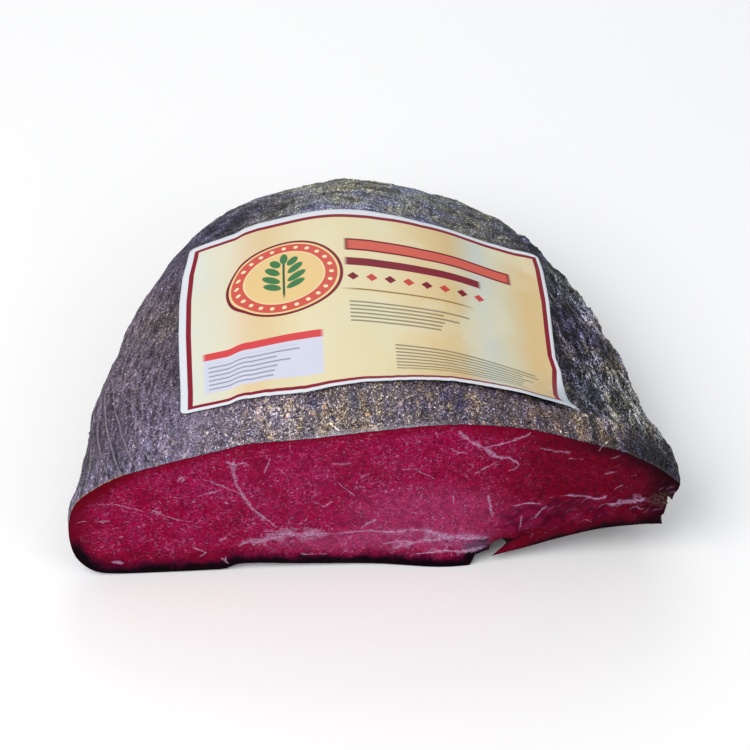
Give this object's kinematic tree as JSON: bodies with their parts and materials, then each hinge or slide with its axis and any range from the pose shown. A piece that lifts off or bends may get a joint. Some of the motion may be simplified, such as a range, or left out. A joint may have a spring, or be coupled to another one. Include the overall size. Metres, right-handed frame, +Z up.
{
  "type": "bresaola",
  "caption": "Half of a smoked, cured beef joint with a herb crust, cut across, lying on its flat underside with a paper label over its domed top.",
  "frame": {"origin": "on the flat underside, below the middle of the joint", "axes": "+X along the cut face to the right of someone who looks at the cut, +Y from the cut face into the joint, +Z up from the surface that the joint lies on"},
  "size_m": [0.2523, 0.2029, 0.0795],
  "materials": {
    "herb_crust": "dry, rough crust of dark herbs and pepper on smoked meat",
    "cured_meat": "moist, satin cut face of deep red cured beef with pale fat veins",
    "label_paper": "semi-gloss printed paper"
  },
  "bodies": {
    "root": {"bresaola": "herb_crust", "label": "label_paper"}
  },
  "joints": []
}
